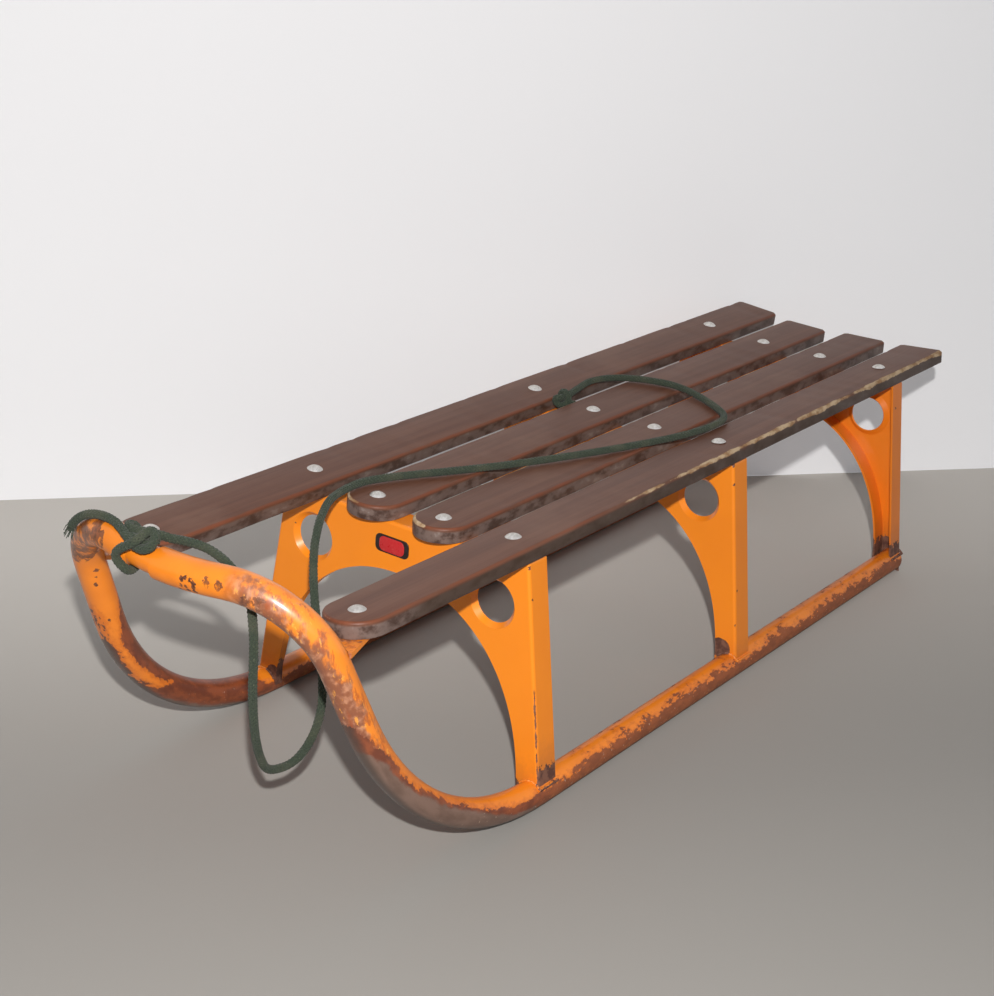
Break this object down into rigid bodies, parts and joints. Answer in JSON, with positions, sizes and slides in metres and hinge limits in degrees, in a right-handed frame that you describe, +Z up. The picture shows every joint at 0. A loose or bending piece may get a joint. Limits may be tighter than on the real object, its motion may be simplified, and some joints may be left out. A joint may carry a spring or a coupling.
{
  "type": "pull sledge",
  "caption": "Child's pull sledge: bent steel tube runners, arched pressed steel bunks, wooden seat slats on domed rivets and a knotted pull rope",
  "frame": {"origin": "on the floor under the middle of the sledge's bounding box, without the rope", "axes": "+X forward to the bent front, +Y to the sledge's left, +Z up"},
  "size_m": [1.1081, 0.326, 0.2828],
  "materials": {
    "tube_paint": "orange paint, chipped and rusty on the lower sides",
    "bunk_paint": "glossy orange paint on pressed steel, with small chips",
    "slat_wood": "dark red-brown varnish, worn to pale wood along the edges",
    "rivet_metal": "dull aluminium",
    "badge_enamel": "black enamel with a plain red middle",
    "rope_fibre": "dark green braided cord"
  },
  "bodies": {
    "root": {"runner_tube_left": "tube_paint", "runner_tube_right": "tube_paint", "bunk_front": "bunk_paint", "bunk_middle": "bunk_paint", "bunk_rear": "bunk_paint", "lug_left": "tube_paint", "lug_right": "tube_paint", "slat_1": "slat_wood", "slat_2": "slat_wood", "slat_3": "slat_wood", "slat_4": "slat_wood", "rivet_1_front": "rivet_metal", "rivet_1_middle": "rivet_metal", "rivet_1_rear": "rivet_metal", "rivet_2_front": "rivet_metal", "rivet_2_middle": "rivet_metal", "rivet_2_rear": "rivet_metal", "rivet_3_front": "rivet_metal", "rivet_3_middle": "rivet_metal", "rivet_3_rear": "rivet_metal", "rivet_4_front": "rivet_metal", "rivet_4_middle": "rivet_metal", "rivet_4_rear": "rivet_metal", "rivet_1_lug": "rivet_metal", "rivet_4_lug": "rivet_metal", "badge": "badge_enamel", "rope_knot": "rope_fibre", "rope": "rope_fibre", "rope_tail": "rope_fibre", "rope_end_knot": "rope_fibre"}
  },
  "joints": []
}
